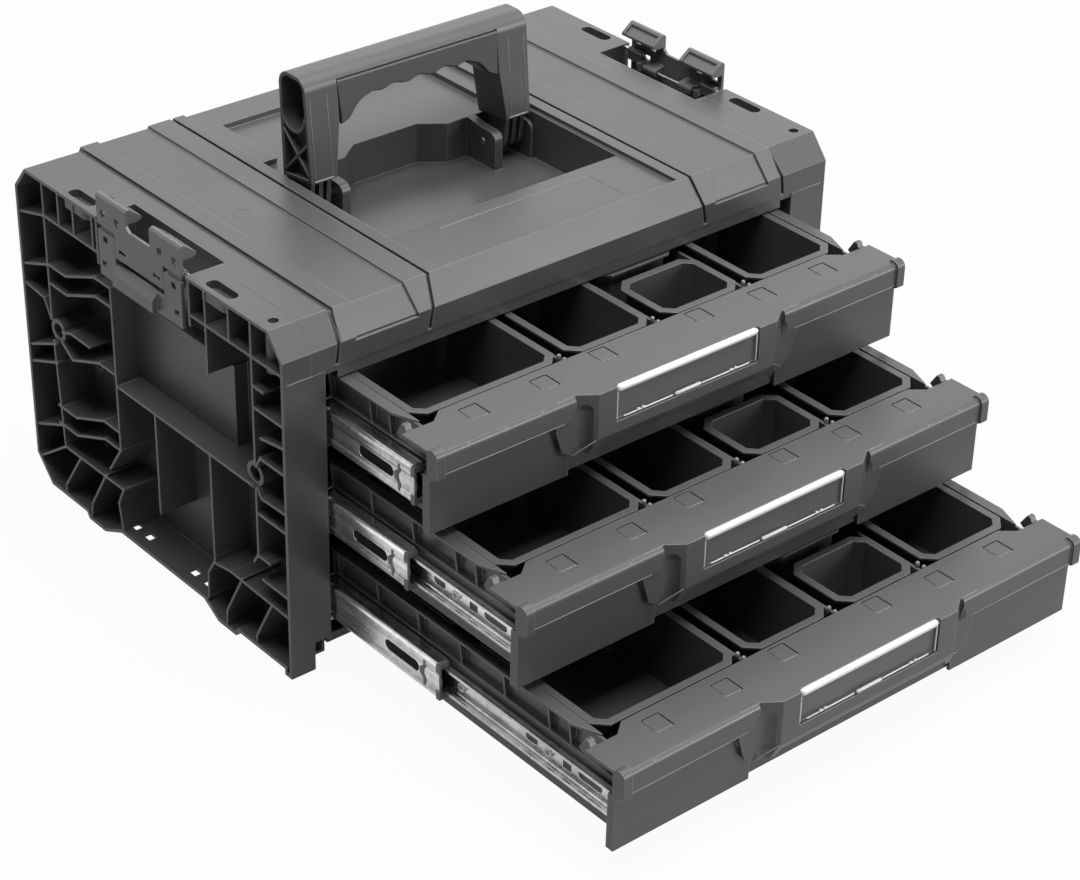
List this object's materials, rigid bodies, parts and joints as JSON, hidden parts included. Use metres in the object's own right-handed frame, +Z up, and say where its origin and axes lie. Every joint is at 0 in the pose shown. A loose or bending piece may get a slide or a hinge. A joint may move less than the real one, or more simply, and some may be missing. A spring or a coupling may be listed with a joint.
{
  "type": "tool box",
  "caption": "Stackable moulded tool box with drawers of bins on ball-bearing slides, a folding carry handle and hooked side latches.",
  "frame": {"origin": "on the floor, under the middle of the bounding box with the drawers open as stored; the case's own middle lies 140.05 mm behind it", "axes": "+X to the right seen from the front, +Y to the back of the case, +Z up; drawers open along -Y"},
  "size_m": [0.46, 0.5814, 0.3163],
  "materials": {
    "case_plastic": "fine grained polypropylene, dark grey",
    "latch_plastic": "fine grained, slightly lighter dark grey",
    "dark_plastic": "fine grained, near black",
    "zinc_steel": "bright zinc plated sheet steel",
    "clear_plastic": "clear polished plastic"
  },
  "bodies": {
    "case": {"left_end_frame": "case_plastic", "left_end_ribs": "case_plastic", "left_end_bosses": "case_plastic", "right_end_frame": "case_plastic", "right_end_ribs": "case_plastic", "right_end_bosses": "case_plastic", "top_cover": "case_plastic", "back_panel": "case_plastic", "base_panel": "case_plastic", "cross_rail": "case_plastic", "cover_screws": "zinc_steel", "handle_pins": "zinc_steel", "cabinet_rails": "zinc_steel", "cabinet_rail_screws": "zinc_steel", "left_latch_pins": "zinc_steel", "right_latch_pins": "zinc_steel"},
    "handle": {"handle_frame": "case_plastic", "grip_insert": "dark_plastic"},
    "left_lever": {"left_latch_lever": "latch_plastic", "left_latch_rod": "zinc_steel"},
    "left_hook": {"left_latch_hook": "latch_plastic"},
    "right_lever": {"right_latch_lever": "latch_plastic", "right_latch_rod": "zinc_steel"},
    "right_hook": {"right_latch_hook": "latch_plastic"},
    "top_drawer": {"top_tray": "case_plastic", "top_front": "case_plastic", "top_bins": "dark_plastic", "top_drawer_rails": "zinc_steel", "top_rail_screws": "zinc_steel"},
    "top_window": {"top_label_window": "clear_plastic"},
    "top_middle_rails": {"top_middle_rails": "zinc_steel", "top_rail_stops": "dark_plastic"},
    "top_outer_cages": {"top_outer_cages": "zinc_steel"},
    "top_inner_cages": {"top_inner_cages": "zinc_steel"},
    "middle_drawer": {"middle_tray": "case_plastic", "middle_front": "case_plastic", "middle_bins": "dark_plastic", "middle_drawer_rails": "zinc_steel", "middle_rail_screws": "zinc_steel"},
    "middle_window": {"middle_label_window": "clear_plastic"},
    "middle_middle_rails": {"middle_middle_rails": "zinc_steel", "middle_rail_stops": "dark_plastic"},
    "middle_outer_cages": {"middle_outer_cages": "zinc_steel"},
    "middle_inner_cages": {"middle_inner_cages": "zinc_steel"},
    "bottom_drawer": {"bottom_tray": "case_plastic", "bottom_front": "case_plastic", "bottom_bins": "dark_plastic", "bottom_drawer_rails": "zinc_steel", "bottom_rail_screws": "zinc_steel"},
    "bottom_window": {"bottom_label_window": "clear_plastic"},
    "bottom_middle_rails": {"bottom_middle_rails": "zinc_steel", "bottom_rail_stops": "dark_plastic"},
    "bottom_outer_cages": {"bottom_outer_cages": "zinc_steel"},
    "bottom_inner_cages": {"bottom_inner_cages": "zinc_steel"}
  },
  "joints": [
    {"name": "handle_fold", "type": "hinge", "parent": "case", "child": "handle", "pos_m": [0, 0.15605, 0.228], "axis": [1, 0, 0], "range_deg": [0, 90]},
    {"name": "left_lever_turn", "type": "hinge", "parent": "case", "child": "left_lever", "pos_m": [-0.221, 0.14005, 0.243], "axis": [0, 1, 0], "range_deg": [0, 90]},
    {"name": "left_hook_turn", "type": "hinge", "parent": "left_lever", "child": "left_hook", "pos_m": [-0.218, 0.14005, 0.2368], "axis": [0, -1, 0], "range_deg": [0, 55]},
    {"name": "right_lever_turn", "type": "hinge", "parent": "case", "child": "right_lever", "pos_m": [0.221, 0.14005, 0.243], "axis": [0, -1, 0], "range_deg": [0, 90]},
    {"name": "right_hook_turn", "type": "hinge", "parent": "right_lever", "child": "right_hook", "pos_m": [0.218, 0.14005, 0.2368], "axis": [0, 1, 0], "range_deg": [0, 55]},
    {"name": "top_drawer_slide", "type": "slide", "parent": "case", "child": "top_drawer", "axis": [0, -1, 0], "range_m": [-0.0994, 0.1756]},
    {"name": "top_middle_rails_slide", "type": "slide", "parent": "case", "child": "top_middle_rails", "axis": [0, -1, 0], "range_m": [-0.08951, 0.15809]},
    {"name": "top_outer_cages_slide", "type": "slide", "parent": "case", "child": "top_outer_cages", "axis": [0, -1, 0], "range_m": [-0.04478, 0.07907]},
    {"name": "top_inner_cages_slide", "type": "slide", "parent": "case", "child": "top_inner_cages", "axis": [0, -1, 0], "range_m": [-0.09448, 0.16687]},
    {"name": "top_window_turn", "type": "hinge", "parent": "top_drawer", "child": "top_window", "pos_m": [0, -0.11935, 0.2025], "axis": [-1, 0, 0], "range_deg": [0, 90]},
    {"name": "middle_drawer_slide", "type": "slide", "parent": "case", "child": "middle_drawer", "axis": [0, -1, 0], "range_m": [-0.1813, 0.0937]},
    {"name": "middle_middle_rails_slide", "type": "slide", "parent": "case", "child": "middle_middle_rails", "axis": [0, -1, 0], "range_m": [-0.08254, 0.04268]},
    {"name": "middle_outer_cages_slide", "type": "slide", "parent": "case", "child": "middle_outer_cages", "axis": [0, -1, 0], "range_m": [-0.0413, 0.02137]},
    {"name": "middle_inner_cages_slide", "type": "slide", "parent": "case", "child": "middle_inner_cages", "axis": [0, -1, 0], "range_m": [-0.13195, 0.06822]},
    {"name": "middle_window_turn", "type": "hinge", "parent": "middle_drawer", "child": "middle_window", "pos_m": [0, -0.20125, 0.13845], "axis": [-1, 0, 0], "range_deg": [0, 90]},
    {"name": "bottom_drawer_slide", "type": "slide", "parent": "case", "child": "bottom_drawer", "axis": [0, -1, 0], "range_m": [-0.2685, 0.0065]},
    {"name": "bottom_middle_rails_slide", "type": "slide", "parent": "case", "child": "bottom_middle_rails", "axis": [0, -1, 0], "range_m": [-0.11349, 0.0028]},
    {"name": "bottom_outer_cages_slide", "type": "slide", "parent": "case", "child": "bottom_outer_cages", "axis": [0, -1, 0], "range_m": [-0.05677, 0.00142]},
    {"name": "bottom_inner_cages_slide", "type": "slide", "parent": "case", "child": "bottom_inner_cages", "axis": [0, -1, 0], "range_m": [-0.19102, 0.00467]},
    {"name": "bottom_window_turn", "type": "hinge", "parent": "bottom_drawer", "child": "bottom_window", "pos_m": [0, -0.28845, 0.0744], "axis": [-1, 0, 0], "range_deg": [0, 90]}
  ],
  "couplings": [
    {"joint": "top_middle_rails_slide", "follows": "top_drawer_slide", "ratio": 0.9},
    {"joint": "top_outer_cages_slide", "follows": "top_drawer_slide", "ratio": 0.45},
    {"joint": "top_inner_cages_slide", "follows": "top_drawer_slide", "ratio": 0.95},
    {"joint": "middle_middle_rails_slide", "follows": "middle_drawer_slide", "ratio": 0.455},
    {"joint": "middle_outer_cages_slide", "follows": "middle_drawer_slide", "ratio": 0.2275},
    {"joint": "middle_inner_cages_slide", "follows": "middle_drawer_slide", "ratio": 0.7275},
    {"joint": "bottom_middle_rails_slide", "follows": "bottom_drawer_slide", "ratio": 0.4225},
    {"joint": "bottom_outer_cages_slide", "follows": "bottom_drawer_slide", "ratio": 0.21125},
    {"joint": "bottom_inner_cages_slide", "follows": "bottom_drawer_slide", "ratio": 0.71125}
  ]
}
